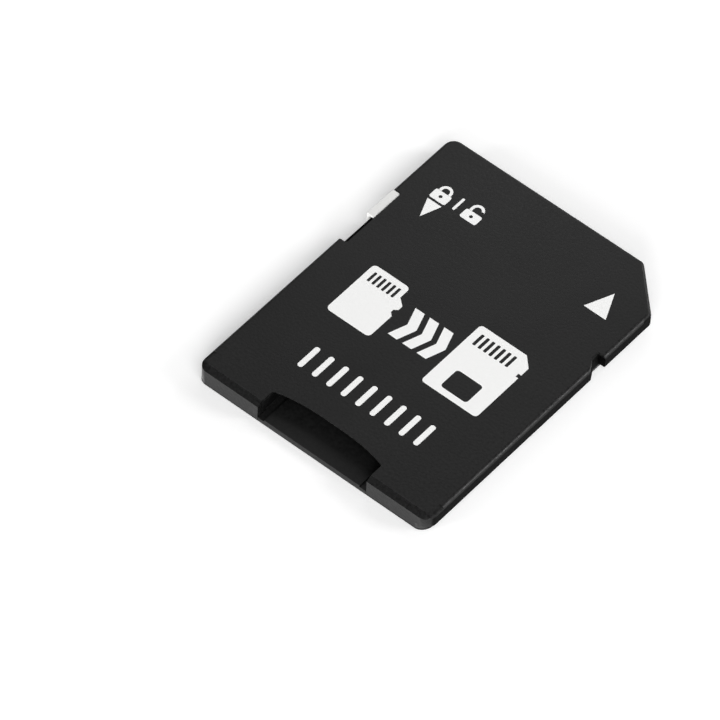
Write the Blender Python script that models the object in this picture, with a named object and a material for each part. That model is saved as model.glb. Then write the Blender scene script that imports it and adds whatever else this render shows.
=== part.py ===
"""Memory card adapter: a full-size card body that takes a small card in a slot at one end.

Lengths are in millimetres here and are turned to metres as each mesh is made. The card lies with
its label face up. x runs across it, y from the slot end to the connector end, z up from the
contact face. The origin is at the middle of the contact face.
"""
import math

import bmesh
import bpy

MM = 0.001

# Card body
CARD_LENGTH = 32.0
CARD_THICKNESS = 2.1
RAIL_THICKNESS = 1.4
RAIL_WIDTH = 0.75
CORNER_CUT = 3.9
CORNER_RADIUS = 1.0
LEFT_CORNER_RADIUS = 0.9
LEFT_CORNER_LENGTH = 1.6
CUT_RADIUS = 0.6
LOWER_CORNER_RADIUS = 0.6
LABEL_EDGE_RADIUS = 0.35
LOWER_EDGE_RADIUS = 0.1
FIT = 0.03

# Slope round the slot end of the label face
SLOPE_RUN = 0.5
SLOPE_DROP = 0.34
SLOPE_SIDE_DROP = 0.08
SLOPE_REACH = 1.9
SLOPE_OVERLAP = 0.1

# Small card and the bay that takes it
SMALL_CARD_WIDTH = 11.0
SMALL_CARD_LENGTH = 15.0
SMALL_CARD_THICKNESS = 1.0
BAY_SIDE_CLEARANCE = 0.15
BAY_HEADROOM = 0.05
BAY_END_DEPTH = 0.6
BAY_WALL = 0.65
STOP_THICKNESS = 0.7
STOP_SIDE_WIDTH = 1.2
TONGUE_GROOVE_WIDTH = 0.7
TONGUE_GROOVE_DEPTH = 0.17

# Finger recess in the label face
RECESS_DEPTH = 2.47
RECESS_END_DEPTH = 1.9
RECESS_CORNER_RADIUS = 0.25
RECESS_ARCH_POWER = 3.0
RECESS_LIP = 0.1
RECESS_UNDERCUT = 0.7

# Cover walls
FRONT_WALL = 1.0
CONNECTOR_WALL = 0.9
SIDE_WALL = 1.4
DIAGONAL_WALL = 0.8
PAD_SIDE_WALL = 0.95
END_SEAM_HEIGHT = 0.25

# Pegs on the contact-side cover and their bosses on the label-side cover
PEG_RADIUS = 0.45
PEG_HEIGHT = 0.75
BOSS_WALL = 0.45
PEG_SPREAD = 8.3
PEG_FROM_SLOT = 3.2
PEG_SPACING = 10.3
JOIN_DEPTH = 0.15

# Lock slider and its notch in the left rail
NOTCH_START = 17.5
NOTCH_LENGTH = 6.95
NOTCH_WINDOW_DEPTH = 0.85
NOTCH_DEPTH = 0.45
NOTCH_CORNER_RADIUS = 0.25
NOTCH_END_WALL = 1.0
GUIDE_RAIL_HEIGHT = 0.37
GUIDE_RAIL_BOTTOM = 1.35
SLIDER_LENGTH = 3.35
SLIDER_END_GAP = 0.05
SLIDER_FIT = 0.05
SLIDER_BELOW_FACE = 0.06
SLIDER_HOOK = 0.32
SLIDER_OUTER_RADIUS = 0.1
SLIDER_EDGE_RADIUS = 0.05

# Notch in the right rail
KEY_NOTCH_TOP = 22.2
KEY_NOTCH_FLAT = 0.8
KEY_NOTCH_SLANT = 1.0
KEY_NOTCH_DEPTH = 0.6
KEY_NOTCH_DRAFT = 0.15

# Contact springs: sheet, outer pads and their windows
SHEET = 0.15
PAD_PITCH = 2.5
PAD_7_PITCH = 2.43
PAD_8_PITCH = 1.7
PAD_9_FROM_EDGE = 3.2
PAD_8_FROM_EDGE = 1.67
PAD_WIDTH = 1.9
PAD_7_WIDTH = 1.5
PAD_8_WIDTH = 1.3
PAD_OVERLAP = 0.17
PAD_LENGTH = 5.0
PAD_9_LENGTH = 3.6
PAD_9_SETBACK = 1.9
LEAD_WIDTH = 0.8
PAD_8_LEAD_SHIFT = 0.6
SHOULDER = 0.3

# Contact springs: fan to the small pitch, bridge and spring arms
SPRING_PITCH = 1.1
SPRING_WIDTH = 0.62
SPRING_TIP_WIDTH = 0.45
SPRING_LENGTH = 5.6
SPRING_TIP_LENGTH = 0.9
SPRING_RISE = 0.36
SPRING_TIP_DROP = 0.26
SPRING_REACH = 2.6
SPRING_SLOT_CLEARANCE = 0.1
SPRING_SLOT_DEPTH = 0.37
FAN_LENGTH = 3.2
BRIDGE_HEIGHT = 0.38
BRIDGE_WIDTH = 0.5

# Contact carrier
CARRIER_PLATE = 0.42
CARRIER_RIB = 0.6
CARRIER_DEPTH = 8.4
CARRIER_FOOT_LENGTH = 2.2
CARRIER_SIDE_GAP = 0.1

# How far a cutter runs past the surface that it cuts
BEYOND = 1.0

# Facets
ARC_STEPS = 8
EDGE_STEPS = 6
SLOPE_STEPS = 11
ROUND_STEPS = 24
SPRING_STEPS = 12

# Heights and places worked out from the sizes above. The card is as wide as its row of pads
# with the margins beside it: pads 1 to 6 follow pad 9 at the main pitch, then pads 7 and 8.
CARD_WIDTH = PAD_9_FROM_EDGE + 6 * PAD_PITCH + PAD_7_PITCH + PAD_8_PITCH + PAD_8_FROM_EDGE
HALF_WIDTH = CARD_WIDTH / 2
RAIL_BOTTOM = CARD_THICKNESS - RAIL_THICKNESS
BASE_TOP = RAIL_BOTTOM - FIT
BAY_HALF = SMALL_CARD_WIDTH / 2 + BAY_SIDE_CLEARANCE
BAY_END = SMALL_CARD_LENGTH + BAY_END_DEPTH
CEILING = BASE_TOP + SMALL_CARD_THICKNESS + BAY_HEADROOM
CHAMBER_START = BAY_END + STOP_THICKNESS
CHAMBER_END = CARD_LENGTH - CONNECTOR_WALL
DIAGONAL = HALF_WIDTH + CARD_LENGTH - CORNER_CUT
NOTCH_END = NOTCH_START + NOTCH_LENGTH
GUIDE_RAIL_TOP = GUIDE_RAIL_BOTTOM + GUIDE_RAIL_HEIGHT
PAD_POCKET_START = NOTCH_END + NOTCH_END_WALL


def clear_scene():
    for item in list(bpy.data.objects):
        bpy.data.objects.remove(item)


def plastic(name, colour, roughness):
    material = bpy.data.materials.new(name)
    material.use_nodes = True
    shader = material.node_tree.nodes["Principled BSDF"]
    shader.inputs["Base Color"].default_value = (*colour, 1.0)
    shader.inputs["Roughness"].default_value = roughness
    shader.inputs["Metallic"].default_value = 0.0
    return material


def metal(name, colour, roughness):
    material = plastic(name, colour, roughness)
    shader = material.node_tree.nodes["Principled BSDF"]
    shader.inputs["Metallic"].default_value = 1.0
    return material


def rounded(corners):
    """Plan outline, anticlockwise, through corners (x, y, radius), each turned by an arc."""
    points = []
    count = len(corners)
    for index, (x, y, radius) in enumerate(corners):
        before = corners[index - 1]
        after = corners[(index + 1) % count]
        to_before = math.atan2(before[1] - y, before[0] - x)
        to_after = math.atan2(after[1] - y, after[0] - x)
        opening = (to_before - to_after) % (2 * math.pi)
        middle = to_after + opening / 2
        reach = radius / math.sin(opening / 2)
        centre_x = x + reach * math.cos(middle)
        centre_y = y + reach * math.sin(middle)
        turn = math.pi - opening
        for step in range(ARC_STEPS + 1):
            angle = middle + math.pi - turn / 2 + turn * step / ARC_STEPS
            points.append((centre_x + radius * math.cos(angle), centre_y + radius * math.sin(angle)))
    return points


def card_plan(inset):
    """Card outline moved in by inset all round."""
    half = HALF_WIDTH - inset
    back = CARD_LENGTH - inset
    diagonal = DIAGONAL - inset * math.sqrt(2)
    return rounded([
        (-half, inset, LEFT_CORNER_RADIUS - inset),
        (half, inset, CORNER_RADIUS - inset),
        (half, diagonal - half, CUT_RADIUS - inset),
        (diagonal - back, back, CUT_RADIUS - inset),
        (-half, back, CORNER_RADIUS - inset),
    ])


def lower_plan(inset):
    """Outline below the rails, moved in by inset. The left corner of the slot end is as wide as the card."""
    full = HALF_WIDTH - inset
    half = full - RAIL_WIDTH
    back = CARD_LENGTH - inset
    diagonal = DIAGONAL - inset * math.sqrt(2)
    step = LEFT_CORNER_LENGTH - inset
    return rounded([
        (-full, inset, LEFT_CORNER_RADIUS - inset),
        (half, inset, LOWER_CORNER_RADIUS - inset),
        (half, diagonal - half, CUT_RADIUS - inset),
        (diagonal - back, back, CUT_RADIUS - inset),
        (-half, back, LOWER_CORNER_RADIUS - inset),
        (-half, step, 0.0),
        (-full, step, 0.0),
    ])


def box_plan(x0, x1, y0, y1):
    return [(x0, y0), (x1, y0), (x1, y1), (x0, y1)]


def circle_plan(x, y, radius):
    turns = [2 * math.pi * step / ROUND_STEPS for step in range(ROUND_STEPS)]
    return [(x + radius * math.cos(turn), y + radius * math.sin(turn)) for turn in turns]


def loft(name, rings, closed=False):
    """Solid through rings of (x, y, z) points, capped at both ends unless it closes on itself."""
    shape = bmesh.new()
    rows = [[shape.verts.new((x * MM, (y - CARD_LENGTH / 2) * MM, z * MM)) for x, y, z in ring]
            for ring in rings]
    count = len(rings[0])
    pairs = list(zip(rows, rows[1:]))
    if closed:
        pairs.append((rows[-1], rows[0]))
    for low, high in pairs:
        for index in range(count):
            following = (index + 1) % count
            shape.faces.new((low[index], low[following], high[following], high[index]))
    if not closed:
        shape.faces.new(list(reversed(rows[0])))
        shape.faces.new(rows[-1])
    bmesh.ops.remove_doubles(shape, verts=shape.verts, dist=1e-7)
    bmesh.ops.recalc_face_normals(shape, faces=shape.faces)
    mesh = bpy.data.meshes.new(name)
    shape.to_mesh(mesh)
    shape.free()
    item = bpy.data.objects.new(name, mesh)
    bpy.context.scene.collection.objects.link(item)
    return item


def prism(name, plan, bottom, top):
    return loft(name, [[(x, y, bottom) for x, y in plan], [(x, y, top) for x, y in plan]])


def block(x0, x1, y0, y1, bottom, top):
    return prism("block", box_plan(x0, x1, y0, y1), bottom, top)


def combine(target, tool, operation):
    """Joins tool to target or cuts it away, and removes tool."""
    modifier = target.modifiers.new("shape", "BOOLEAN")
    modifier.operation = operation
    modifier.solver = "EXACT"
    modifier.object = tool
    bpy.context.view_layer.update()
    evaluated = target.evaluated_get(bpy.context.evaluated_depsgraph_get())
    mesh = bpy.data.meshes.new_from_object(evaluated)
    target.modifiers.remove(modifier)
    target.data = mesh
    bpy.data.objects.remove(tool)


def cut(target, tool):
    combine(target, tool, "DIFFERENCE")


def join(target, tool):
    combine(target, tool, "UNION")


def finish(item, name, material, smooth_angle=30.0):
    item.name = name
    item.data.name = name
    item.data.materials.clear()
    item.data.materials.append(material)
    item.data.shade_smooth()
    item.data.set_sharp_from_angle(angle=math.radians(smooth_angle))
    return item


def slope_cutter():
    """Wedge swept round the slot end: it slopes the label face down to the end wall."""
    inner_reach = -SLOPE_RUN - SLOPE_OVERLAP
    stations = [(HALF_WIDTH, SLOPE_REACH, 0.0, 0.0)]
    for side, radius in ((1, CORNER_RADIUS), (-1, LEFT_CORNER_RADIUS)):
        centre_x = side * (HALF_WIDTH - radius)
        for step in range(SLOPE_STEPS + 1):
            share = step / SLOPE_STEPS if side == 1 else 1 - step / SLOPE_STEPS
            angle = -math.pi / 2 * share
            x = centre_x + side * radius * math.cos(angle)
            y = radius + radius * math.sin(angle)
            stations.append((x, y, angle, share))
    stations.append((-HALF_WIDTH, SLOPE_REACH, 0.0, 0.0))
    rings = []
    for x, y, angle, share in stations:
        side = 1 if x > 0 else -1
        out_x = side * math.cos(angle)
        out_y = math.sin(angle)
        drop = SLOPE_SIDE_DROP + (SLOPE_DROP - SLOPE_SIDE_DROP) * math.sin(math.pi / 2 * share)
        fall = drop / SLOPE_RUN
        ring = []
        for reach, height in ((inner_reach, SLOPE_OVERLAP * fall), (BEYOND, -(BEYOND + SLOPE_RUN) * fall),
                              (BEYOND, BEYOND), (inner_reach, BEYOND)):
            ring.append((x + out_x * reach, y + out_y * reach, CARD_THICKNESS + height))
        rings.append(ring)
    return loft("slope", rings)


def recess_plan(margin=0.0):
    """Finger recess seen from above: rounded ends and a shallow arch, deeper by margin."""
    radius = RECESS_CORNER_RADIUS
    end = RECESS_END_DEPTH + margin
    rise = RECESS_DEPTH - RECESS_END_DEPTH
    arch_half = BAY_HALF - radius
    slope = math.atan(RECESS_ARCH_POWER * rise / arch_half)
    right = [(BAY_HALF, -BEYOND)]
    for step in range(ARC_STEPS):
        angle = (math.pi / 2 - slope) * step / (ARC_STEPS - 1)
        right.append((arch_half + radius * math.cos(angle), end - radius + radius * math.sin(angle)))
    for step in range(1, ARC_STEPS + 1):
        share = 1 - step / ARC_STEPS
        right.append((arch_half * share, end + rise * (1 - share ** RECESS_ARCH_POWER)))
    left = [(-x, y) for x, y in reversed(right[:-1])]
    return right + left


def chamber_plan():
    """Space for the contacts, which follows the corner cut at the connector end."""
    right = HALF_WIDTH - SIDE_WALL
    left = -(HALF_WIDTH - NOTCH_WINDOW_DEPTH - NOTCH_DEPTH)
    pad_left = -(HALF_WIDTH - PAD_SIDE_WALL)
    diagonal = DIAGONAL - DIAGONAL_WALL * math.sqrt(2)
    return [
        (left, CHAMBER_START),
        (right, CHAMBER_START),
        (right, diagonal - right),
        (diagonal - CHAMBER_END, CHAMBER_END),
        (pad_left, CHAMBER_END),
        (pad_left, PAD_POCKET_START),
        (left, PAD_POCKET_START),
    ]


def peg_places():
    return [(side * PEG_SPREAD, PEG_FROM_SLOT + row * PEG_SPACING) for side in (-1, 1) for row in (0, 1)]


def make_top_cover(material):
    rings = [
        [(x, y, RAIL_BOTTOM) for x, y in card_plan(LOWER_EDGE_RADIUS)],
        [(x, y, RAIL_BOTTOM + LOWER_EDGE_RADIUS) for x, y in card_plan(0.0)],
    ]
    for step in range(EDGE_STEPS + 1):
        angle = math.pi / 2 * step / EDGE_STEPS
        inset = LABEL_EDGE_RADIUS * (1 - math.cos(angle))
        height = CARD_THICKNESS - LABEL_EDGE_RADIUS * (1 - math.sin(angle))
        rings.append([(x, y, height) for x, y in card_plan(inset)])
    cover = loft("top_cover", rings)

    # The end walls beside the slot reach down past the rails to the seam.
    skirt = prism("skirt", lower_plan(0.0), END_SEAM_HEIGHT, CEILING)
    cut(skirt, block(-CARD_WIDTH, CARD_WIDTH, FRONT_WALL, 2 * CARD_LENGTH, 0.0, CARD_THICKNESS))
    join(cover, skirt)
    cut(cover, slope_cutter())

    pocket_outer = HALF_WIDTH - SIDE_WALL
    pocket_inner = BAY_HALF + BAY_WALL
    for side in (-1, 1):
        x0, x1 = sorted((side * pocket_inner, side * pocket_outer))
        cut(cover, block(x0, x1, FRONT_WALL, BAY_END, -BEYOND, CEILING))
    cut(cover, prism("chamber", chamber_plan(), -BEYOND, CEILING))
    cut(cover, block(-BAY_HALF, BAY_HALF, -BEYOND, BAY_END, -BEYOND, CEILING))

    # The small card stops against two posts, and the springs pass between them.
    stop_half = BAY_HALF - STOP_SIDE_WIDTH
    cut(cover, block(-stop_half, stop_half, BAY_END - STOP_THICKNESS, CHAMBER_START + STOP_THICKNESS,
                     -BEYOND, CEILING))

    # The recess is thinned from below, so its edge is a narrow lip.
    cut(cover, prism("recess", recess_plan(), -BEYOND, CARD_THICKNESS + BEYOND))
    deep = recess_plan(RECESS_UNDERCUT)
    undercut = [[(x, y, 0.0) for x, y in deep], [(x, y, CEILING) for x, y in deep]]
    undercut.append([(x, y, CARD_THICKNESS - RECESS_LIP) for x, y in recess_plan()])
    cut(cover, loft("undercut", undercut))

    for x, y in peg_places():
        boss = prism("boss", circle_plan(x, y, PEG_RADIUS + FIT + BOSS_WALL), RAIL_BOTTOM, CEILING + JOIN_DEPTH)
        cut(boss, prism("socket", circle_plan(x, y, PEG_RADIUS + FIT), -BEYOND,
                           BASE_TOP + PEG_HEIGHT + 2 * FIT))
        join(cover, boss)

    cut_slider_notch(cover)
    cut(cover, key_notch())
    return finish(cover, "top_cover", material)


def cut_slider_notch(cover):
    """Window, outer notch and undercut that leave a guide rail for the slider to grip."""
    outside = -(HALF_WIDTH + BEYOND)
    window = -(HALF_WIDTH - NOTCH_WINDOW_DEPTH)
    rail_outer = -(HALF_WIDTH - NOTCH_DEPTH)
    hook_space = window + NOTCH_DEPTH + SLIDER_HOOK
    for inner, bottom in ((window, GUIDE_RAIL_TOP), (rail_outer, 0.0)):
        plan = rounded([
            (outside, NOTCH_START, 0.0),
            (inner, NOTCH_START, NOTCH_CORNER_RADIUS),
            (inner, NOTCH_END, NOTCH_CORNER_RADIUS),
            (outside, NOTCH_END, 0.0),
        ])
        cut(cover, prism("notch", plan, bottom, CARD_THICKNESS + BEYOND))
    cut(cover, block(outside, hook_space, NOTCH_START, NOTCH_END, 0.0, GUIDE_RAIL_BOTTOM))


def key_notch():
    """Notch in the right rail: square at its connector end, slanted at its slot end."""
    outside = HALF_WIDTH + BEYOND
    levels = ((-BEYOND, KEY_NOTCH_DEPTH), (RAIL_BOTTOM, KEY_NOTCH_DEPTH),
              (CARD_THICKNESS, KEY_NOTCH_DEPTH + KEY_NOTCH_DRAFT),
              (CARD_THICKNESS + BEYOND, KEY_NOTCH_DEPTH + KEY_NOTCH_DRAFT))
    flat_end = KEY_NOTCH_TOP - KEY_NOTCH_FLAT
    rings = []
    for height, depth in levels:
        inner = HALF_WIDTH - depth
        slant = KEY_NOTCH_SLANT / KEY_NOTCH_DEPTH
        rings.append([
            (inner, KEY_NOTCH_TOP, height),
            (inner, flat_end, height),
            (outside, flat_end - (outside - inner) * slant, height),
            (outside, KEY_NOTCH_TOP, height),
        ])
    return loft("key_notch", rings)


def pad_places():
    """Outer pads as name: (x of the middle, width, y of its near end, y of its far end)."""
    far_end = CHAMBER_END - FIT
    x = HALF_WIDTH - PAD_9_FROM_EDGE
    pads = {"9": (x, PAD_WIDTH, far_end - PAD_9_SETBACK - PAD_9_LENGTH, far_end - PAD_9_SETBACK)}
    steps = [("1", PAD_PITCH, PAD_WIDTH), ("2", PAD_PITCH, PAD_WIDTH), ("3", PAD_PITCH, PAD_WIDTH),
             ("4", PAD_PITCH, PAD_WIDTH), ("5", PAD_PITCH, PAD_WIDTH), ("6", PAD_PITCH, PAD_WIDTH),
             ("7", PAD_7_PITCH, PAD_7_WIDTH), ("8", PAD_8_PITCH, PAD_8_WIDTH)]
    for name, pitch, width in steps:
        x -= pitch
        pads[name] = (x, width, far_end - PAD_LENGTH, far_end)
    return pads


def lead_x(name):
    shift = PAD_8_LEAD_SHIFT if name == "8" else 0.0
    return pad_places()[name][0] + shift


def make_bottom_cover(material):
    base = loft("bottom_cover", [
        [(x, y, 0.0) for x, y in lower_plan(LOWER_EDGE_RADIUS)],
        [(x, y, LOWER_EDGE_RADIUS) for x, y in lower_plan(0.0)],
        [(x, y, BASE_TOP) for x, y in lower_plan(0.0)],
    ])

    # The end walls of the label-side cover stand on this step.
    for side in (-1, 1):
        x0, x1 = sorted((side * (BAY_HALF - FIT), side * CARD_WIDTH))
        cut(base, block(x0, x1, -BEYOND, FRONT_WALL + FIT, END_SEAM_HEIGHT - FIT, CARD_THICKNESS))
        x0, x1 = sorted((side * (BAY_HALF - TONGUE_GROOVE_WIDTH), side * BAY_HALF))
        cut(base, block(x0, x1, -BEYOND, BAY_END, BASE_TOP - TONGUE_GROOVE_DEPTH, CARD_THICKNESS))

    for name, (x, width, near, far) in pad_places().items():
        half = width / 2 - PAD_OVERLAP
        start = near + PAD_OVERLAP
        cut(base, block(x - half, x + half, start, CARD_LENGTH + BEYOND, -BEYOND, CARD_THICKNESS))

    slot_half = SPRING_WIDTH / 2 + SPRING_SLOT_CLEARANCE
    tip = BAY_END - SPRING_REACH
    for x in spring_places():
        cut(base, block(x - slot_half, x + slot_half, tip - SPRING_SLOT_CLEARANCE, CHAMBER_START,
                        BASE_TOP - SPRING_SLOT_DEPTH, CARD_THICKNESS))

    for x, y in peg_places():
        join(base, prism("peg", circle_plan(x, y, PEG_RADIUS), BASE_TOP - JOIN_DEPTH, BASE_TOP + PEG_HEIGHT))
    return finish(base, "bottom_cover", material)


def spring_places():
    """x of each spring arm, from the corner-cut side across."""
    return [SPRING_PITCH * (3.5 - index) for index in range(8)]


def spring_path(x):
    """Middle line of one spring arm, from its root to its turned-down tip, with its width."""
    tip = BAY_END - SPRING_REACH
    crest = tip + SPRING_TIP_LENGTH
    root = tip + SPRING_LENGTH
    middle = RAIL_BOTTOM + SHEET / 2
    stations = []
    for step in range(SPRING_STEPS + 1):
        share = step / SPRING_STEPS
        ease = share * share * (3 - 2 * share)
        rise = SPRING_RISE * (0.5 * share + 0.5 * ease)
        width = SPRING_WIDTH + (SPRING_TIP_WIDTH - SPRING_WIDTH) * share
        stations.append((x, root + (crest - root) * share, middle + rise, width))
    for step in range(1, 5):
        share = step / 4
        drop = SPRING_TIP_DROP * share * share
        stations.append((x, crest + (tip - crest) * share, middle + SPRING_RISE - drop, SPRING_TIP_WIDTH))
    return stations


def strip(name, stations):
    """Flat stamped strip of the sheet's thickness through stations (x, y, z, width)."""
    half = SHEET / 2
    rings = []
    for x, y, z, width in stations:
        rings.append([
            (x - width / 2, y, z - half),
            (x + width / 2, y, z - half),
            (x + width / 2, y, z + half),
            (x - width / 2, y, z + half),
        ])
    return loft(name, rings)


def pad_stations(name, lead_end):
    """Stations of an outer pad and its lead, as far as lead_end."""
    x, width, near, far = pad_places()[name]
    middle = RAIL_BOTTOM + SHEET / 2
    return [
        (x, far, middle, width),
        (x, near, middle, width),
        (lead_x(name), near - SHOULDER, middle, LEAD_WIDTH),
        (lead_x(name), lead_end, middle, LEAD_WIDTH),
    ]


def fan_start():
    return BAY_END - SPRING_REACH + SPRING_LENGTH + FAN_LENGTH


def make_contact(name, spring_x, material):
    stations = pad_stations(name, fan_start()) + spring_path(spring_x)
    return finish(strip("contact", stations), "contact_pad_" + name, material)


def make_ground_contact(spring_x, material):
    """Pads 3 and 6 are one stamping: a bridge folds up over the two leads between them."""
    contact = strip("contact", pad_stations("6", fan_start()) + spring_path(spring_x))
    bridge_end = fan_start() + BRIDGE_WIDTH
    join(contact, strip("lead", pad_stations("3", fan_start())))
    low = RAIL_BOTTOM
    high = RAIL_BOTTOM + SHEET + BRIDGE_HEIGHT
    left = lead_x("6") - LEAD_WIDTH / 2
    right = lead_x("3") + LEAD_WIDTH / 2
    profile = [
        (left, low), (left + SHEET, low), (left + SHEET, high - SHEET), (right - SHEET, high - SHEET),
        (right - SHEET, low), (right, low), (right, high), (left, high),
    ]
    near_end = fan_start() + FIT
    bridge = loft("bridge", [[(x, near_end, z) for x, z in profile], [(x, bridge_end, z) for x, z in profile]])
    join(contact, bridge)
    return finish(contact, "contact_pads_3_6", material)


def make_carrier(material):
    far = CHAMBER_END - FIT
    near = far - CARRIER_DEPTH
    bottom = RAIL_BOTTOM + SHEET + FIT
    top = bottom + CARRIER_PLATE
    right = HALF_WIDTH - SIDE_WALL - CARRIER_SIDE_GAP
    left = -(HALF_WIDTH - NOTCH_WINDOW_DEPTH - NOTCH_DEPTH - SLIDER_HOOK) + 2 * CARRIER_SIDE_GAP
    pad_left = -(HALF_WIDTH - PAD_SIDE_WALL - CARRIER_SIDE_GAP)
    jog = PAD_POCKET_START + CARRIER_SIDE_GAP
    diagonal = DIAGONAL - (DIAGONAL_WALL + CARRIER_SIDE_GAP) * math.sqrt(2)
    plan = [(left, near), (right, near), (right, diagonal - right), (diagonal - far, far), (pad_left, far),
            (pad_left, jog), (left, jog)]
    carrier = prism("contact_carrier", plan, bottom, top)
    ribs_left = left + CARRIER_SIDE_GAP
    ribs_right = diagonal - far - CARRIER_SIDE_GAP
    for y in (near + CARRIER_SIDE_GAP, far - CARRIER_RIB - CARRIER_SIDE_GAP):
        join(carrier, block(ribs_left, ribs_right, y, y + CARRIER_RIB, top - JOIN_DEPTH, CEILING - FIT))

    # Feet stand between the leads and keep them at their pitch.
    leads = sorted(lead_x(name) for name in pad_places())
    for left_lead, right_lead in zip(leads, leads[1:]):
        x0 = left_lead + LEAD_WIDTH / 2 + FIT
        x1 = right_lead - LEAD_WIDTH / 2 - FIT
        foot_start = near + CARRIER_SIDE_GAP
        join(carrier, block(x0, x1, foot_start, foot_start + CARRIER_FOOT_LENGTH, RAIL_BOTTOM,
                            bottom + JOIN_DEPTH))
    return finish(carrier, "contact_carrier", material)


def make_slider(material):
    """Slider whose grip, lower arm and inner leg close round the guide rail."""
    outer = -HALF_WIDTH
    window = -(HALF_WIDTH - NOTCH_WINDOW_DEPTH)
    rail_outer = -(HALF_WIDTH - NOTCH_DEPTH)
    rail_inner = window + NOTCH_DEPTH
    top = CARD_THICKNESS - SLIDER_BELOW_FACE
    bottom = RAIL_BOTTOM + SLIDER_FIT
    far = NOTCH_END - SLIDER_END_GAP
    near = far - SLIDER_LENGTH
    inner_radius = NOTCH_CORNER_RADIUS - SLIDER_FIT

    def plan(inner, radius, inset=0.0):
        return rounded([
            (outer + inset, near + inset, SLIDER_OUTER_RADIUS - inset),
            (inner - inset, near + inset, radius),
            (inner - inset, far - inset, radius),
            (outer + inset, far - inset, SLIDER_OUTER_RADIUS - inset),
        ])

    waist = plan(rail_outer - SLIDER_FIT, inner_radius)
    head = plan(window - SLIDER_FIT, inner_radius)
    edge = plan(window - SLIDER_FIT, inner_radius - SLIDER_EDGE_RADIUS, SLIDER_EDGE_RADIUS)
    foot = plan(rail_outer - SLIDER_FIT, inner_radius - SLIDER_EDGE_RADIUS, SLIDER_EDGE_RADIUS)
    levels = [
        (foot, bottom),
        (waist, bottom + SLIDER_EDGE_RADIUS),
        (waist, GUIDE_RAIL_TOP + SLIDER_FIT),
        (head, GUIDE_RAIL_TOP + 2 * SLIDER_FIT),
        (head, top - SLIDER_EDGE_RADIUS),
        (edge, top),
    ]
    slider = loft("lock_slider", [[(x, y, z) for x, y in shape] for shape, z in levels])
    arm_near = near + SLIDER_EDGE_RADIUS
    arm_far = far - SLIDER_EDGE_RADIUS
    arm_bottom = bottom + SLIDER_EDGE_RADIUS / 2
    leg_inner = rail_inner + SLIDER_HOOK - SLIDER_FIT
    join(slider, block(rail_outer - SLIDER_FIT - inner_radius, leg_inner, arm_near, arm_far, arm_bottom,
                       GUIDE_RAIL_BOTTOM - SLIDER_FIT))
    join(slider, block(rail_inner + SLIDER_FIT, leg_inner - SLIDER_EDGE_RADIUS, arm_near + SLIDER_EDGE_RADIUS,
                       arm_far - SLIDER_EDGE_RADIUS, arm_bottom + SLIDER_EDGE_RADIUS, CEILING - SLIDER_FIT))
    return finish(slider, "lock_slider", material)


def build():
    clear_scene()
    black = plastic("black_moulded_plastic", (0.026, 0.026, 0.026), 0.55)
    inner_black = plastic("carrier_plastic", (0.03, 0.03, 0.03), 0.5)
    white = plastic("white_moulded_plastic", (0.80, 0.80, 0.78), 0.45)
    gold = metal("gold_plated_spring_sheet", (0.85, 0.62, 0.28), 0.25)
    make_top_cover(black)
    make_bottom_cover(black)
    make_carrier(inner_black)
    make_slider(white)
    names = ["9", "1", "2", "4", "5", "6", "7", "8"]
    for name, x in zip(names, spring_places()):
        if name == "6":
            make_ground_contact(x, gold)
        else:
            make_contact(name, x, gold)


build()
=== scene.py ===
"""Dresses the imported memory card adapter: moulded plastics, printed marks, plated contacts, light.

Sizes are in millimetres and are turned to metres by MM. In plan, x runs across the card and y runs
from the slot end, as in the part's own drawing; to_row turns such a place to the row frame, whose
origin is the middle of the contact face.
"""

import math

import bmesh
import bpy
from mathutils import Matrix, Vector


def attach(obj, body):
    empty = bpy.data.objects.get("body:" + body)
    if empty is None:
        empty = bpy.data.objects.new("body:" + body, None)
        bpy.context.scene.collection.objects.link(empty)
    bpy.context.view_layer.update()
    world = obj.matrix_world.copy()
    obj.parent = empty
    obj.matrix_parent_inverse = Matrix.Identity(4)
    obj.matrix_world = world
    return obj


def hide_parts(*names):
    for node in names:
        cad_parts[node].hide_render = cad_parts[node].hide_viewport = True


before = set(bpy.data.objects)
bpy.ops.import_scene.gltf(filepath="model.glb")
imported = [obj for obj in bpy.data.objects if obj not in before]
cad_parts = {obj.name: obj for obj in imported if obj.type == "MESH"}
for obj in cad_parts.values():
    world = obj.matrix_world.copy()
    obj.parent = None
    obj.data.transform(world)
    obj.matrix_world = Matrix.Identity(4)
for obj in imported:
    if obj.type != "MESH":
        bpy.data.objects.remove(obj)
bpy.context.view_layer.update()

MM = 0.001
CARD_LENGTH = 32.0
HALF_WIDTH = 12.0
LABEL_FACE = 2.1

# Slope round the slot end: its width, how far it falls at the end wall and at the sides, how far it
# runs back along the sides, and the corner radii that it follows
SLOPE_WIDTH = 0.51
SLOPE_FALL = 0.348
SLOPE_SIDE_FALL = 0.24
SLOPE_BACK = 1.9
RIGHT_RADIUS = 1.0
LEFT_RADIUS = 0.9

# How far the wedge that cuts the slope reaches past it, inward, outward and above the label face
WEDGE_INWARD = 0.05
WEDGE_OUTWARD = 0.5
WEDGE_ABOVE = 0.5

# Lower right corner of the end wall, the toe: the x at which its rounding starts, how far its solid
# goes on inward from there, how far it reaches out and back, its length, its chamfer and its top.
# The label-side cover's end wall starts at END_WALL_FOOT, and the other cover's ends at BASE_STEP.
TOE_START = 10.65
TOE_OVERLAP = 0.3
TOE_OUT = 1.0
TOE_BACK = 1.3
TOE_LENGTH = 0.98
TOE_CHAMFER = 0.1
TOE_TOP = 0.9
END_WALL_FOOT = 0.25
BASE_STEP = 0.22

# How far the toe's faces stay behind the covers' own planes, so that they join cleanly
TUCK = 0.004

# Steps of the slope and the toe round a corner
CORNER_STEPS = 20

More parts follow.
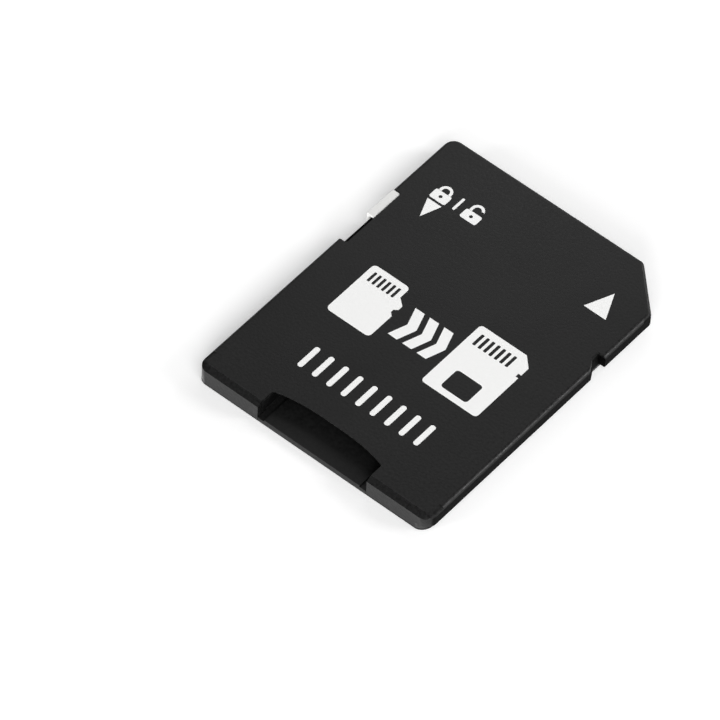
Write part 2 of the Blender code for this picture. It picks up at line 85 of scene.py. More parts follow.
# Edges of the moulded and stamped pieces
COVER_EDGE = 0.035
LOWER_COVER_EDGE = 0.012
SLIDER_EDGE = 0.03
CARRIER_EDGE = 0.02
SHEET_EDGE = 0.012
EDGE_STEPS = 2

# Points nearer than MERGE_DISTANCE are joined. Faces within FLAT_ANGLE degrees of each other become
# one, and edges sharper than SHARP_ANGLE degrees are rounded.
MERGE_DISTANCE = 0.0005
FLAT_ANGLE = 0.5
SHARP_ANGLE = 32

# Moulded plastic: spacing of its broad drift in colour and that drift's share of the speck, and how
# far the roughness strays from grain to grain
DRIFT_SPACING = 4.5
DRIFT_SHARE = 0.3
GLOSS_STRAY = 0.1

# Zones of the label-side cover's surface, in the row frame. The walls below the label face end
# between WALL_HEIGHTS, and higher by FAR_EDGE_RISE past LEFT_EDGE, BACK_EDGE and CUT_CORNER_EDGE,
# which is a sum of x and y. Their colour is darkened by WALL_SHADE, a painted shade. The polished
# slot end fades out along y between SLOT_END_PLACES, and its reflection round the corners between
# SLOT_CORNER_PLACES, sooner by LEFT_CORNER_SHIFT at the left. KEY_NOTCH_STOP is the key notch's
# upper wall, its place along y and half its thickness. It lies past KEY_NOTCH_FLOOR along x and its
# colour is darkened by KEY_NOTCH_SHADE, a painted shadow.
WALL_HEIGHTS = (1.7, 1.95)
WALL_SHADE = 0.5
LEFT_EDGE = -10.9
BACK_EDGE = 15.4
CUT_CORNER_EDGE = 23.1
FAR_EDGE_RISE = 0.13
SLOT_END_PLACES = (-15.55, -15.35)
SLOT_CORNER_PLACES = (-15.9, -15.2)
LEFT_CORNER_SHIFT = 0.25
KEY_NOTCH_STOP = (6.13, 0.08)
KEY_NOTCH_FLOOR = 11.3
KEY_NOTCH_SHADE = 0.05

# Printed marks
INK_THICKNESS = 0.012
INK_SINK = 0.004

# Point in the middle of the card that the camera and the lamps face
CARD_MIDDLE = (0.0, 0.0, 1.0)

# Camera, as it stood for the photograph: its angles in degrees, its distance from the middle of the
# card, how far it is then moved to its left and down, and its lens in pixels of the picture
CAMERA_AZIMUTH = 37.503
CAMERA_ELEVATION = 51.106
CAMERA_ROLL = 3.193
CAMERA_DISTANCE = 602.189
CAMERA_LEFT = 6.45
CAMERA_DOWN = 2.167
FOCAL_PIXELS = 7501.42
PICTURE_PIXELS = 720
SENSOR = 36.0

# Light. The floor is FLOOR_SIZE metres wide and lies FLOOR_DROP below the card. A lamp has a name,
# azimuth and elevation in degrees, distance and size in metres, and power in watts.
WORLD_STRENGTH = 0.17
FLOOR_LIFT = 0.32
FLOOR_SIZE = 6.0
FLOOR_DROP = 0.01
LAMPS = (
    ("low_front_left_key", -30, 8, 0.8, 0.2, 4.0),
    ("low_front_right", 30, 22, 0.8, 0.3, 2.95),
    ("right_top", 60, 42, 0.8, 0.35, 2.25),
    ("back_right_rim", 120, 22, 0.8, 0.3, 2.75),
    ("low_back", 170, 24, 0.8, 0.25, 1.2),
    ("back_left", 210, 42, 0.8, 0.35, 0.25),
    ("near_sheen", 200, 30, 0.07, 0.03, 0.002),
    ("near_left_sheen", 220, 45, 0.07, 0.03, 0.0012),
)


def linear(hex_colour):
    """Linear RGBA of an sRGB hex colour."""
    channels = []
    for start in (0, 2, 4):
        value = int(hex_colour[start:start + 2], 16) / 255
        channels.append(value / 12.92 if value <= 0.04045 else ((value + 0.055) / 1.055) ** 2.4)
    return (*channels, 1.0)


def add_node(tree, kind, settings=None, inputs=None):
    """Adds a node. settings are properties; inputs are socket values or (node, output) links."""
    node = tree.nodes.new(kind)
    for name, value in (settings or {}).items():
        setattr(node, name, value)
    for socket, value in (inputs or {}).items():
        if isinstance(value, tuple) and len(value) == 2 and isinstance(value[0], bpy.types.Node):
            tree.links.new(value[0].outputs[value[1]], node.inputs[socket])
        else:
            node.inputs[socket].default_value = value
    return node


def new_material(name):
    """Material with an empty node tree, and that tree."""
    material = bpy.data.materials.new(name)
    material.use_nodes = True
    tree = material.node_tree
    tree.nodes.clear()
    return material, tree


def close_material(tree, shader):
    """Gives the tree its output, with the shader on it."""
    add_node(tree, "ShaderNodeOutputMaterial", inputs={"Surface": (shader, 0)})


# Materials


def cover_zones(tree, place):
    """Zones of the label-side cover, as three nodes whose first output is their value.

    walls is 1 on the walls below the label face's edge and fades out on the slot end; end is 1 on
    the slot end; shade is what the colour is multiplied by: painted shade on the walls and a painted
    shadow on the key notch's upper wall.
    """
    axes = add_node(tree, "ShaderNodeSeparateXYZ", {}, {"Vector": (place, "Object")})

    # Past the left, back and cut corner edges the walls end higher
    left = add_node(tree, "ShaderNodeMath", {"operation": "LESS_THAN"}, {
        0: (axes, "X"), 1: LEFT_EDGE * MM})
    back = add_node(tree, "ShaderNodeMath", {"operation": "GREATER_THAN"}, {
        0: (axes, "Y"), 1: BACK_EDGE * MM})
    across = add_node(tree, "ShaderNodeMath", {"operation": "ADD"}, {
        0: (axes, "X"), 1: (axes, "Y")})
    cut = add_node(tree, "ShaderNodeMath", {"operation": "GREATER_THAN"}, {
        0: (across, 0), 1: CUT_CORNER_EDGE * MM})
    behind = add_node(tree, "ShaderNodeMath", {"operation": "MAXIMUM"}, {
        0: (left, 0), 1: (back, 0)})
    far = add_node(tree, "ShaderNodeMath", {"operation": "MAXIMUM"}, {
        0: (behind, 0), 1: (cut, 0)})
    rise = add_node(tree, "ShaderNodeMath", {"operation": "MULTIPLY"}, {
        0: (far, 0), 1: FAR_EDGE_RISE * MM})
    height = add_node(tree, "ShaderNodeMath", {"operation": "SUBTRACT"}, {
        0: (axes, "Z"), 1: (rise, 0)})
    below = add_node(tree, "ShaderNodeMapRange", {"interpolation_type": "SMOOTHSTEP"}, {
        "Value": (height, 0), "From Min": WALL_HEIGHTS[0] * MM, "From Max": WALL_HEIGHTS[1] * MM,
        "To Min": 1.0, "To Max": 0.0})

    # The slot end and the corners beside it
    shift = add_node(tree, "ShaderNodeMath", {"operation": "MULTIPLY"}, {
        0: (left, 0), 1: LEFT_CORNER_SHIFT * MM})
    past_end = add_node(tree, "ShaderNodeMath", {"operation": "ADD"}, {
        0: (axes, "Y"), 1: (shift, 0)})
    along = add_node(tree, "ShaderNodeMapRange", {"interpolation_type": "SMOOTHSTEP"}, {
        "Value": (past_end, 0), "From Min": SLOT_CORNER_PLACES[0] * MM,
        "From Max": SLOT_CORNER_PLACES[1] * MM})
    walls = add_node(tree, "ShaderNodeMath", {"operation": "MULTIPLY"}, {
        0: (below, 0), 1: (along, 0)})
    end = add_node(tree, "ShaderNodeMapRange", {"interpolation_type": "SMOOTHSTEP"}, {
        "Value": (axes, "Y"), "From Min": SLOT_END_PLACES[0] * MM,
        "From Max": SLOT_END_PLACES[1] * MM, "To Min": 1.0, "To Max": 0.0})

    # The key notch's upper wall, where a painted shadow goes
    stop = add_node(tree, "ShaderNodeMath", {"operation": "COMPARE"}, {
        0: (axes, "Y"), 1: KEY_NOTCH_STOP[0] * MM, 2: KEY_NOTCH_STOP[1] * MM})
    outside = add_node(tree, "ShaderNodeMath", {"operation": "GREATER_THAN"}, {
        0: (axes, "X"), 1: KEY_NOTCH_FLOOR * MM})
    lower = add_node(tree, "ShaderNodeMath", {"operation": "MULTIPLY"}, {
        0: (outside, 0), 1: (below, 0)})
    shadowed_notch_wall = add_node(tree, "ShaderNodeMath", {"operation": "MULTIPLY"}, {
        0: (stop, 0), 1: (lower, 0)})

    # Colour factors: painted shade on the walls, painted shadow on the key notch's upper wall
    wall_painted_shade = add_node(tree, "ShaderNodeMapRange", {}, {
        "Value": (walls, 0), "To Min": 1.0, "To Max": WALL_SHADE})
    notch_painted_shadow = add_node(tree, "ShaderNodeMapRange", {}, {
        "Value": (shadowed_notch_wall, 0), "To Min": 1.0, "To Max": KEY_NOTCH_SHADE})
    shade = add_node(tree, "ShaderNodeMath", {"operation": "MULTIPLY"}, {
        0: (wall_painted_shade, 0), 1: (notch_painted_shadow, 0)})
    return walls, end, shade


def moulded_plastic(name, colour, roughness, specular, grain, depth, speck, end_gloss=None,
                    wall_matt=None, wall_specular=None):
    """Injection-moulded plastic out of a spark-eroded mould.

    The tool's matt grain breaks every reflection into a soft sheen. grain and depth are the spacing
    and height of that grain in millimetres, drawn coarser than the real one, which is too fine to
    show. speck is how far the colour drifts from grain to grain.
    The last three are given together, for the label-side cover. end_gloss is the roughness of the
    slot end, which closes on a polished insert. wall_matt and wall_specular are the roughness and
    reflection of the other walls below the label face's edge, which draw along the tool and come
    out dull; their colour is also darkened by painted shade. The upper wall of the key notch is
    painted near black, a painted shadow.
    """
    material, tree = new_material(name)
    place = add_node(tree, "ShaderNodeTexCoord")
    fine = add_node(tree, "ShaderNodeTexNoise", {"noise_dimensions": "3D"}, {
        "Vector": (place, "Object"), "Scale": 1 / (grain * MM), "Detail": 1.0, "Roughness": 0.5})
    broad = add_node(tree, "ShaderNodeTexNoise", {"noise_dimensions": "3D"}, {
        "Vector": (place, "Object"), "Scale": 1 / (DRIFT_SPACING * MM), "Detail": 3.0,
        "Roughness": 0.55})
    drift = add_node(tree, "ShaderNodeMapRange", {}, {
        "Value": (broad, "Fac"), "From Min": 0.3, "From Max": 0.7,
        "To Min": 1 - DRIFT_SHARE * speck, "To Max": 1 + DRIFT_SHARE * speck})
    spots = add_node(tree, "ShaderNodeMapRange", {}, {
        "Value": (fine, "Fac"), "From Min": 0.25, "From Max": 0.75, "To Min": 1 - speck,
        "To Max": 1 + speck})
    mottling = add_node(tree, "ShaderNodeMath", {"operation": "MULTIPLY"}, {
        0: (drift, 0), 1: (spots, 0)})
    tint = add_node(tree, "ShaderNodeVectorMath", {"operation": "SCALE"}, {
        0: linear(colour)[:3], "Scale": (mottling, 0)})
    gloss = add_node(tree, "ShaderNodeMapRange", {}, {
        "Value": (fine, "Fac"), "From Min": 0.3, "From Max": 0.7,
        "To Min": roughness - GLOSS_STRAY, "To Max": roughness + GLOSS_STRAY})
    shine = specular
    if wall_matt is not None:
        walls, end, shade = cover_zones(tree, place)
        gloss = add_node(tree, "ShaderNodeMix", {"data_type": "FLOAT"}, {
            "Factor": (walls, 0), "A": (gloss, 0), "B": wall_matt})
        gloss = add_node(tree, "ShaderNodeMix", {"data_type": "FLOAT"}, {
            "Factor": (end, 0), "A": (gloss, 0), "B": end_gloss})
        shine = (add_node(tree, "ShaderNodeMix", {"data_type": "FLOAT"}, {
            "Factor": (walls, 0), "A": specular, "B": wall_specular}), 0)
        # Painted shade and shadow: the colour is darkened on the walls and on the key notch's upper
        # wall
        tint = add_node(tree, "ShaderNodeVectorMath", {"operation": "SCALE"}, {
            0: (tint, "Vector"), "Scale": (shade, 0)})
    bump = add_node(tree, "ShaderNodeBump", {}, {
        "Height": (fine, "Fac"), "Strength": 1.0, "Distance": depth * MM})
    shader = add_node(tree, "ShaderNodeBsdfPrincipled", {}, {
        "Base Color": (tint, "Vector"), "Roughness": (gloss, 0), "Specular IOR Level": shine,
        "Normal": (bump, 0)})
    close_material(tree, shader)
    return material


def printing_ink():
    """White pad-printing ink: a thin, flat, chalky film with a faintly uneven body."""
    material, tree = new_material("white_pad_printed_ink")
    place = add_node(tree, "ShaderNodeTexCoord")
    cloud = add_node(tree, "ShaderNodeTexNoise", {"noise_dimensions": "3D"}, {
        "Vector": (place, "Object"), "Scale": 1 / (0.35 * MM), "Detail": 3.0, "Roughness": 0.6})
    tint = add_node(tree, "ShaderNodeMix", {"data_type": "RGBA"}, {
        "Factor": (cloud, "Fac"), "A": linear("f6f6f5"), "B": linear("fdfdfc")})
    bump = add_node(tree, "ShaderNodeBump", {}, {
        "Height": (cloud, "Fac"), "Strength": 0.6, "Distance": 0.002 * MM})
    shader = add_node(tree, "ShaderNodeBsdfPrincipled", {}, {
        "Base Color": (tint, "Result"), "Roughness": 0.62, "Specular IOR Level": 0.3,
        "Normal": (bump, 0)})
    close_material(tree, shader)
    return material


def plated_sheet():
    """Gold flash over nickel on rolled phosphor bronze: a soft mirror with rolling lines along it.

    The lines are drawn as coarse as they need to show.
    """
    material, tree = new_material("gold_plated_phosphor_bronze")
    place = add_node(tree, "ShaderNodeTexCoord")
    stretched = add_node(tree, "ShaderNodeMapping", {}, {
        "Vector": (place, "Object"), "Scale": (1.0, 0.04, 1.0)})
    lines = add_node(tree, "ShaderNodeTexNoise", {"noise_dimensions": "3D"}, {
        "Vector": (stretched, "Vector"), "Scale": 1 / (0.05 * MM), "Detail": 2.0,
        "Roughness": 0.5})
    stain = add_node(tree, "ShaderNodeTexNoise", {"noise_dimensions": "3D"}, {
        "Vector": (place, "Object"), "Scale": 1 / (1.3 * MM), "Detail": 2.0, "Roughness": 0.5})
    tint = add_node(tree, "ShaderNodeMix", {"data_type": "RGBA"}, {
        "Factor": (stain, "Fac"), "A": linear("d9b264"), "B": linear("ebc983")})
    gloss = add_node(tree, "ShaderNodeMapRange", {}, {
        "Value": (lines, "Fac"), "From Min": 0.3, "From Max": 0.7, "To Min": 0.2, "To Max": 0.32})
    bump = add_node(tree, "ShaderNodeBump", {}, {
        "Height": (lines, "Fac"), "Strength": 0.5, "Distance": 0.0008 * MM})
    shader = add_node(tree, "ShaderNodeBsdfPrincipled", {}, {
        "Base Color": (tint, "Result"), "Metallic": 1.0, "Roughness": (gloss, 0),
        "Normal": (bump, 0)})
    close_material(tree, shader)
    return material


# Pieces carried over from the solids


def to_row(x, y, z):
    """Place in the row frame, in metres, of a place on the card's plan in millimetres."""
    return Vector((x * MM, (y - CARD_LENGTH / 2) * MM, z * MM))


def merged(source):
    """Copy of a mesh with its doubled points joined and its faces turned outward."""
    shape = bmesh.new()
    shape.from_mesh(source)
    bmesh.ops.remove_doubles(shape, verts=shape.verts, dist=MERGE_DISTANCE * MM)
    bmesh.ops.recalc_face_normals(shape, faces=shape.faces)
    mesh = bpy.data.meshes.new(source.name + "_merged")
    shape.to_mesh(mesh)
    shape.free()
    return mesh


def solid(name, rings):
    """Closed solid through rings of plan places (x, y, z), in millimetres, capped at both ends."""
    shape = bmesh.new()
    rows = [[shape.verts.new(to_row(*point)) for point in ring] for ring in rings]
    for low, high in zip(rows, rows[1:]):
        for index in range(len(low)):
            following = (index + 1) % len(low)
            shape.faces.new((low[index], low[following], high[following], high[index]))
    shape.faces.new(list(reversed(rows[0])))
    shape.faces.new(rows[-1])
    bmesh.ops.recalc_face_normals(shape, faces=shape.faces)
    mesh = bpy.data.meshes.new(name)
    shape.to_mesh(mesh)
    shape.free()
    item = bpy.data.objects.new(name, mesh)
    bpy.context.scene.collection.objects.link(item)
    return item


def settled_mesh(item):
    """New mesh of an object as its modifiers leave it. The object is used up."""
    bpy.context.view_layer.update()
    settled = item.evaluated_get(bpy.context.evaluated_depsgraph_get())
    mesh = bpy.data.meshes.new_from_object(settled)
    bpy.data.objects.remove(item)
    return mesh


def shaped(mesh, tool, operation):
    """The mesh with tool joined on or cut away. The tool is used up."""
    piece = bpy.data.objects.new("shaped", mesh)
    bpy.context.scene.collection.objects.link(piece)
    change = piece.modifiers.new("change", "BOOLEAN")
    change.operation = operation
    change.solver = "EXACT"
    change.object = tool
    result = settled_mesh(piece)
    bpy.data.objects.remove(tool)
    return result


def slope_wedge():
    """Wedge that carries the slope of the slot end on round both corners."""
    stations = [(HALF_WIDTH, SLOPE_BACK, 0.0, 0.0)]
    for side, radius in ((1, RIGHT_RADIUS), (-1, LEFT_RADIUS)):
        for step in range(CORNER_STEPS + 1):
            share = step / CORNER_STEPS if side == 1 else 1 - step / CORNER_STEPS
            turn = -math.pi / 2 * share
            stations.append((side * (HALF_WIDTH - radius + radius * math.cos(turn)),
                             radius + radius * math.sin(turn), turn, share))
    stations.append((-HALF_WIDTH, SLOPE_BACK, 0.0, 0.0))
    inner = -SLOPE_WIDTH - WEDGE_INWARD
    rings = []
    for x, y, turn, share in stations:
        out_x = math.copysign(math.cos(turn), x)
        out_y = math.sin(turn)
        fall = SLOPE_SIDE_FALL + (SLOPE_FALL - SLOPE_SIDE_FALL) * math.sin(math.pi / 2 * share)
        grade = fall / SLOPE_WIDTH
        outer_fall = (WEDGE_OUTWARD + SLOPE_WIDTH) * grade
        corners = ((inner, WEDGE_INWARD * grade), (WEDGE_OUTWARD, -outer_fall),
                   (WEDGE_OUTWARD, WEDGE_ABOVE), (inner, WEDGE_ABOVE))
        rings.append([(x + out_x * reach, y + out_y * reach, LABEL_FACE + height)
                      for reach, height in corners])
    return solid("slope_wedge", rings)


def toe(levels):
    """Lower right corner of the end wall, through levels (inset, z)."""
    rings = []
    for inset, z in levels:
        start = TOE_START - TOE_OVERLAP
        ring = [(start, TOE_LENGTH - inset, z), (start, inset, z)]
        last = math.acos((TOE_BACK - TOE_LENGTH + inset) / (TOE_BACK - inset))
        for step in range(CORNER_STEPS + 1):
            turn = last * step / CORNER_STEPS
            ring.append((TOE_START + (TOE_OUT - inset) * math.sin(turn),
                         TOE_BACK - (TOE_BACK - inset) * math.cos(turn), z))
        rings.append(ring)
    return solid("toe", rings)


def finished_copy(node, material, edge, body, changes=()):
    """Puts a dressed copy in a solid's place: flat faces joined, edges rounded, shading smooth.

    edge is the radius of its edges. changes are pairs of a tool solid and how it is applied.
    """
    mesh = merged(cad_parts[node].data)
    for tool, operation in changes:
        mesh = shaped(mesh, tool, operation)
    shape = bmesh.new()
    shape.from_mesh(mesh)
    bmesh.ops.dissolve_limit(
        shape, angle_limit=math.radians(FLAT_ANGLE), verts=shape.verts, edges=shape.edges,
        delimit=set(), use_dissolve_boundaries=False)
    shape.to_mesh(mesh)
    shape.free()
    mesh.name = node + "_finished"
    mesh.materials.clear()
    mesh.materials.append(material)
    piece = bpy.data.objects.new(node + "_finished", mesh)
    bpy.context.scene.collection.objects.link(piece)
    mesh.shade_smooth()
    bevel = piece.modifiers.new("moulded edges", "BEVEL")
    bevel.width = edge * MM
    bevel.segments = EDGE_STEPS
    bevel.limit_method = "ANGLE"
    bevel.angle_limit = math.radians(SHARP_ANGLE)
    piece.modifiers.new("even shading", "WEIGHTED_NORMAL")
    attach(piece, body)
    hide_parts(node)


# Printed marks on the label face


def arc(centre, radius, start, end, steps=10):
    """Points in millimetres along an arc, from angle start to angle end in degrees."""
    points = []
    for step in range(steps + 1):
        turn = math.radians(start + (end - start) * step / steps)
        points.append((centre[0] + radius * math.cos(turn), centre[1] + radius * math.sin(turn)))
    return points


def rounded_box(x, y, width, height, radius):
    """Outline of a box with rounded corners, centred on (x, y)."""
    across = width / 2 - radius
    along = height / 2 - radius
    points = []
    for sign_x, sign_y, start in ((1, 1, 0), (-1, 1, 90), (-1, -1, 180), (1, -1, 270)):
        centre = (x + sign_x * across, y + sign_y * along)
        points += arc(centre, radius, start, start + 90, 6)
    return points


def film_mesh(name, outlines):
    """Closed ink film over outlines in millimetres; an outline inside another is a hole in it."""
    curve = bpy.data.curves.new(name, "CURVE")
    curve.dimensions = "2D"
    curve.fill_mode = "BOTH"
    curve.extrude = INK_THICKNESS * MM / 2
    for outline in outlines:
        spline = curve.splines.new("POLY")
        spline.points.add(len(outline) - 1)
        spline.use_cyclic_u = True
        for point, (x, y) in zip(spline.points, outline):
            point.co = (*to_row(x, y, 0.0)[:2], 0.0, 1.0)
    drawing = bpy.data.objects.new(name, curve)
    bpy.context.scene.collection.objects.link(drawing)
    film = merged(settled_mesh(drawing))
    middle = LABEL_FACE + INK_THICKNESS / 2 - INK_SINK
    film.transform(Matrix.Translation((0.0, 0.0, middle * MM)))
    film.name = name
    return film


def row_tree():
    """Geometry Nodes that set copies of one film side by side across the card."""
    tree = bpy.data.node_groups.new("film_row", "GeometryNodeTree")
    tree.interface.new_socket("Film", in_out="INPUT", socket_type="NodeSocketGeometry")
    tree.interface.new_socket("Count", in_out="INPUT", socket_type="NodeSocketInt")
    tree.interface.new_socket("Pitch", in_out="INPUT", socket_type="NodeSocketFloat")
    tree.interface.new_socket("Ink", in_out="INPUT", socket_type="NodeSocketMaterial")
    tree.interface.new_socket("Row", in_out="OUTPUT", socket_type="NodeSocketGeometry")
    given = add_node(tree, "NodeGroupInput")
    step = add_node(tree, "ShaderNodeCombineXYZ", {}, {"X": (given, "Pitch")})
    places = add_node(tree, "GeometryNodeMeshLine", {"mode": "OFFSET"}, {
        "Count": (given, "Count"), "Offset": (step, 0)})
    copies = add_node(tree, "GeometryNodeInstanceOnPoints", {}, {
        "Points": (places, 0), "Instance": (given, "Film")})
    real = add_node(tree, "GeometryNodeRealizeInstances", {}, {"Geometry": (copies, 0)})
    inked = add_node(tree, "GeometryNodeSetMaterial", {}, {
        "Geometry": (real, 0), "Material": (given, "Ink")})
    add_node(tree, "NodeGroupOutput", {}, {"Row": (inked, 0)})
    return tree


def print_mark(name, outlines, count=1, pitch=0.0):
    """Prints a row of count copies of the outlines on the label face, pitch millimetres apart."""
    drawing = bpy.data.objects.new(name, film_mesh(name, outlines))
    bpy.context.scene.collection.objects.link(drawing)
    row = drawing.modifiers.new("row", "NODES")
    row.node_group = film_row
    values = {"Count": count, "Pitch": pitch * MM, "Ink": ink}
    for socket in film_row.interface.items_tree:
        if socket.name in values:
            row[socket.identifier] = values[socket.name]
    mark = bpy.data.objects.new(name, settled_mesh(drawing))
    bpy.context.scene.collection.objects.link(mark)
    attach(mark, "adapter")


def padlock(x, y, height, opened):
    """Outlines of a padlock that stands on (x, y): its body with a keyhole, and its shackle."""
    body_width = 0.82 * height
    body_height = 0.52 * height
    bow = 0.24 * height
    stroke = 0.13 * height
    sunk = y + body_height + 0.01 * height
    lift = 0.09 * height if opened else 0.0
    crown = y + height - bow - stroke / 2 - (0.0 if opened else 0.09 * height)
    centre = (x, crown)
    body = rounded_box(x, y + body_height / 2, body_width, body_height, 0.09 * height)
    keyhole = arc((x, y + 0.27 * height), 0.085 * height, 0, 330, 11)
    right_foot = sunk + (0.14 * height + lift if opened else 0.0)
    shackle = [(x + bow + stroke / 2, right_foot)]
    shackle += arc(centre, bow + stroke / 2, 0, 180, 14)
    shackle += [(x - bow - stroke / 2, sunk), (x - bow + stroke / 2, sunk)]
    shackle += arc(centre, bow - stroke / 2, 180, 0, 14)
    shackle += [(x + bow - stroke / 2, right_foot)]
    return [body, keyhole], [shackle]


def contact_slots(x, y, width, height, count, pitch):
    """Bare rounded slots side by side, centred on (x, y): the contacts of a card's silhouette."""
    first = x - (count - 1) * pitch / 2
    return [rounded_box(first + step * pitch, y, width, height, 0.3 * width)
            for step in range(count)]


def small_card_outline(x, y, width, height):
    """Silhouette of a small card with its contact end up: a step and a nick on its right side."""
    left, right = x - width / 2, x + width / 2
    bottom, top = y - height / 2, y + height / 2
    step = 0.16 * width
    r = 0.09 * width
    shoulder = bottom + 0.52 * height
    points = arc((left + r, bottom + r), r, 180, 270, 5)
    points += arc((right - r, bottom + r), r, 270, 360, 5)
    points += [(right, shoulder - 0.05 * height), (right - 0.45 * step, shoulder),
               (right - 0.45 * step, shoulder + 0.05 * height), (right, shoulder + 0.09 * height),
               (right, shoulder + 0.17 * height), (right - step, shoulder + 0.27 * height)]
    points += arc((right - step - r, top - r), r, 0, 90, 5)
    points += arc((left + r, top - r), r, 90, 180, 5)
    return points


def large_card_outline(x, y, width, height):
    """Silhouette of a full-size card with its contact end up: cut corner and square side notch."""
    left, right = x - width / 2, x + width / 2
    bottom, top = y - height / 2, y + height / 2
    cut = 0.17 * width
    r = 0.06 * width
    nick = bottom + 0.7 * height
    points = arc((left + r, bottom + r), r, 180, 270, 5)
    points += arc((right - r, bottom + r), r, 270, 360, 5)
    points += [(right, nick), (right - 0.05 * width, nick),
               (right - 0.05 * width, nick + 0.05 * height), (right, nick + 0.05 * height),
               (right, top - cut), (right - cut, top)]
    points += arc((left + r, top - r), r, 90, 180, 5)
    return points


def chevron(x, y, width, height, stroke):
    """Arrow head that points to the right, its left tips at x."""
    half = height / 2
    tip = x + width
    return [(x, y - half), (x + stroke, y - half), (tip, y), (x + stroke, y + half), (x, y + half),
            (tip - stroke, y)]


# Light, floor and camera


def soft_box(name, azimuth, elevation, distance, size, power):
    """Square lamp that faces the card. Azimuth 0 is in front of the slot end, 90 to the right."""
    lamp = bpy.data.lights.new(name, "AREA")
    lamp.shape = "SQUARE"
    lamp.size = size
    lamp.energy = power
    item = bpy.data.objects.new(name, lamp)
    item.visible_camera = False
    bpy.context.scene.collection.objects.link(item)
    turn = math.radians(azimuth)
    rise = math.radians(elevation)
    item.location = (distance * math.sin(turn) * math.cos(rise),
                     -distance * math.cos(turn) * math.cos(rise), distance * math.sin(rise))
    facing = item.location - Vector(CARD_MIDDLE) * MM
    item.rotation_euler = facing.to_track_quat("Z", "Y").to_euler()


def make_camera():
    """Camera at the place that the card's corners in the photograph give."""
    turn = math.radians(CAMERA_AZIMUTH)
    rise = math.radians(CAMERA_ELEVATION)
    back = Vector((math.sin(turn) * math.cos(rise), -math.cos(turn) * math.cos(rise),
                   math.sin(rise)))
    right = (-back).cross(Vector((0, 0, 1))).normalized()
    up = right.cross(-back)
    roll = math.radians(CAMERA_ROLL)
    across = math.cos(roll) * right + math.sin(roll) * up
    upward = -math.sin(roll) * right + math.cos(roll) * up
    place = (Vector(CARD_MIDDLE) + back * CAMERA_DISTANCE - across * CAMERA_LEFT
             - upward * CAMERA_DOWN)
    lens = bpy.data.cameras.new("camera")
    lens.sensor_width = SENSOR
    lens.lens = FOCAL_PIXELS / PICTURE_PIXELS * SENSOR
    lens.clip_start = 0.01
    lens.clip_end = 20.0
    camera = bpy.data.objects.new("camera", lens)
    bpy.context.scene.collection.objects.link(camera)
    turned = Matrix((across, upward, back)).transposed().to_4x4()
    camera.matrix_world = Matrix.Translation(place * MM) @ turned
    bpy.context.scene.camera = camera


def make_floor():
    """Pale matt floor under the card.

    The camera, and whatever mirrors the floor or shows it through, see it brighter by FLOOR_LIFT,
    so that it looks white and still takes the card's shadow. That throws no light on the card.
    """
    material, tree = new_material("pale_studio_floor")
    path = add_node(tree, "ShaderNodeLightPath")
    seen = add_node(tree, "ShaderNodeMath", {"operation": "MAXIMUM"}, {
        0: (path, "Is Camera Ray"), 1: (path, "Is Glossy Ray")})
    seen_through = add_node(tree, "ShaderNodeMath", {"operation": "MAXIMUM"}, {
        0: (seen, 0), 1: (path, "Is Transmission Ray")})
    lift = add_node(tree, "ShaderNodeMath", {"operation": "MULTIPLY"}, {
        0: (seen_through, 0), 1: FLOOR_LIFT})
    paint = add_node(tree, "ShaderNodeBsdfDiffuse", {}, {"Color": linear("ececec")})
    glow = add_node(tree, "ShaderNodeEmission", {}, {
        "Color": linear("ffffff"), "Strength": (lift, 0)})
    both = add_node(tree, "ShaderNodeAddShader", {}, {0: (paint, 0), 1: (glow, 0)})
    close_material(tree, both)
    bpy.ops.mesh.primitive_plane_add(size=FLOOR_SIZE, location=(0.0, 0.0, -FLOOR_DROP * MM))
    floor = bpy.context.active_object
    floor.name = "floor"
    floor.data.materials.append(material)


def make_world():
    """Even white light from all round."""
    world = bpy.data.worlds.new("studio")
    bpy.context.scene.world = world
    world.use_nodes = True
    background = world.node_tree.nodes["Background"]
    background.inputs["Color"].default_value = linear("ffffff")
    background.inputs["Strength"].default_value = WORLD_STRENGTH


# ABS: a matt, faintly mottled black, with a silky slot end and dull side walls darkened by painted
# shade
cover_plastic = moulded_plastic(
    "black_moulded_abs", "181818", roughness=0.42, specular=0.3, grain=0.26, depth=0.012, speck=0.4,
    end_gloss=0.2, wall_matt=0.8, wall_specular=0.05)
# The same ABS under the label-side cover: a shallower grain, quieter to the eye
lower_plastic = moulded_plastic(
    "black_moulded_abs_inside_grain", "181818", roughness=0.42, specular=0.25, grain=0.26,
    depth=0.008, speck=0.2)
# Acetal: a satin, slightly waxy white, nearly without grain
slider_plastic = moulded_plastic(
    "white_moulded_acetal", "e6e6e4", roughness=0.4, specular=0.4, grain=0.15, depth=0.002,
    speck=0.01)
# Liquid crystal polymer: a dark warm grey, a little glossier than the covers
carrier_plastic = moulded_plastic(
    "black_moulded_liquid_crystal_polymer", "262624", roughness=0.38, specular=0.5, grain=0.2,
    depth=0.002, speck=0.03)
contact_metal = plated_sheet()
ink = printing_ink()

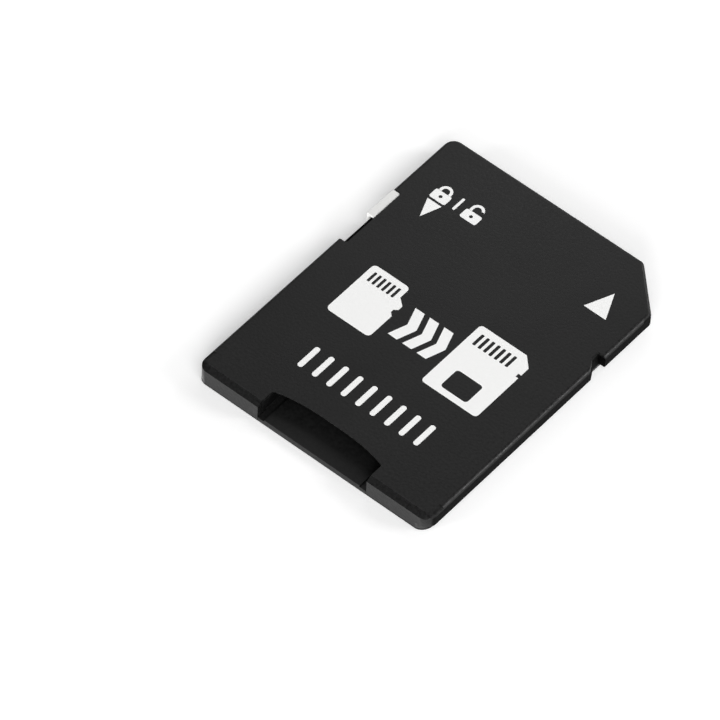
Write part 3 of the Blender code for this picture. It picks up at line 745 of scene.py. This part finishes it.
top_toe = toe([(TUCK, END_WALL_FOOT + TUCK), (TUCK, TOE_TOP)])
finished_copy("top_cover", cover_plastic, COVER_EDGE, "adapter", [
    (top_toe, "UNION"), (slope_wedge(), "DIFFERENCE")])
bottom_toe = toe([(TUCK + TOE_CHAMFER, TUCK), (TUCK, TOE_CHAMFER), (TUCK, BASE_STEP - TUCK)])
finished_copy("bottom_cover", lower_plastic, LOWER_COVER_EDGE, "adapter", [
    (bottom_toe, "UNION")])
finished_copy("lock_slider", slider_plastic, SLIDER_EDGE, "slider")
finished_copy("contact_carrier", carrier_plastic, CARRIER_EDGE, "adapter")
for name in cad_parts:
    if name.startswith("contact_pad"):
        finished_copy(name, contact_metal, SHEET_EDGE, "adapter")

# The marks' places and sizes are on the card's plan
film_row = row_tree()
print_mark("mark_insert_arrow", [[(7.35, 25.15), (9.6, 25.15), (8.45, 27.75)]])
print_mark("mark_lock_arrow", [[(-9.27, 25.5), (-8.5, 23.57), (-7.8, 25.5)]])
for name, x, opened in (("closed", -8.55, False), ("open", -5.35, True)):
    body, shackle = padlock(x, 25.75, 2.0, opened)
    print_mark("mark_padlock_" + name + "_body", body)
    print_mark("mark_padlock_" + name + "_shackle", shackle)
print_mark("mark_padlock_divider", [rounded_box(-6.95, 26.65, 0.24, 1.5, 0.11)])
print_mark("mark_small_card", [small_card_outline(-5.75, 14.2, 4.5, 6.1)]
           + contact_slots(-6.05, 16.1, 0.27, 1.15, 6, 0.5))
print_mark("mark_chevrons", [chevron(-2.6, 14.2, 1.55, 3.5, 0.95)], 3, 1.5)
print_mark("mark_large_card", [large_card_outline(5.3, 14.3, 5.7, 7.6)]
           + contact_slots(4.95, 16.75, 0.3, 1.35, 7, 0.56)
           + [rounded_box(5.3, 12.2, 2.7, 2.2, 0.3)])
print_mark("mark_contact_bars", [rounded_box(-5.75, 6.4, 0.5, 2.5, 0.22)], 9, 1.5)

make_world()
make_floor()
for lamp in LAMPS:
    soft_box(*lamp)
make_camera()

bpy.context.scene.view_settings.view_transform = "Standard"
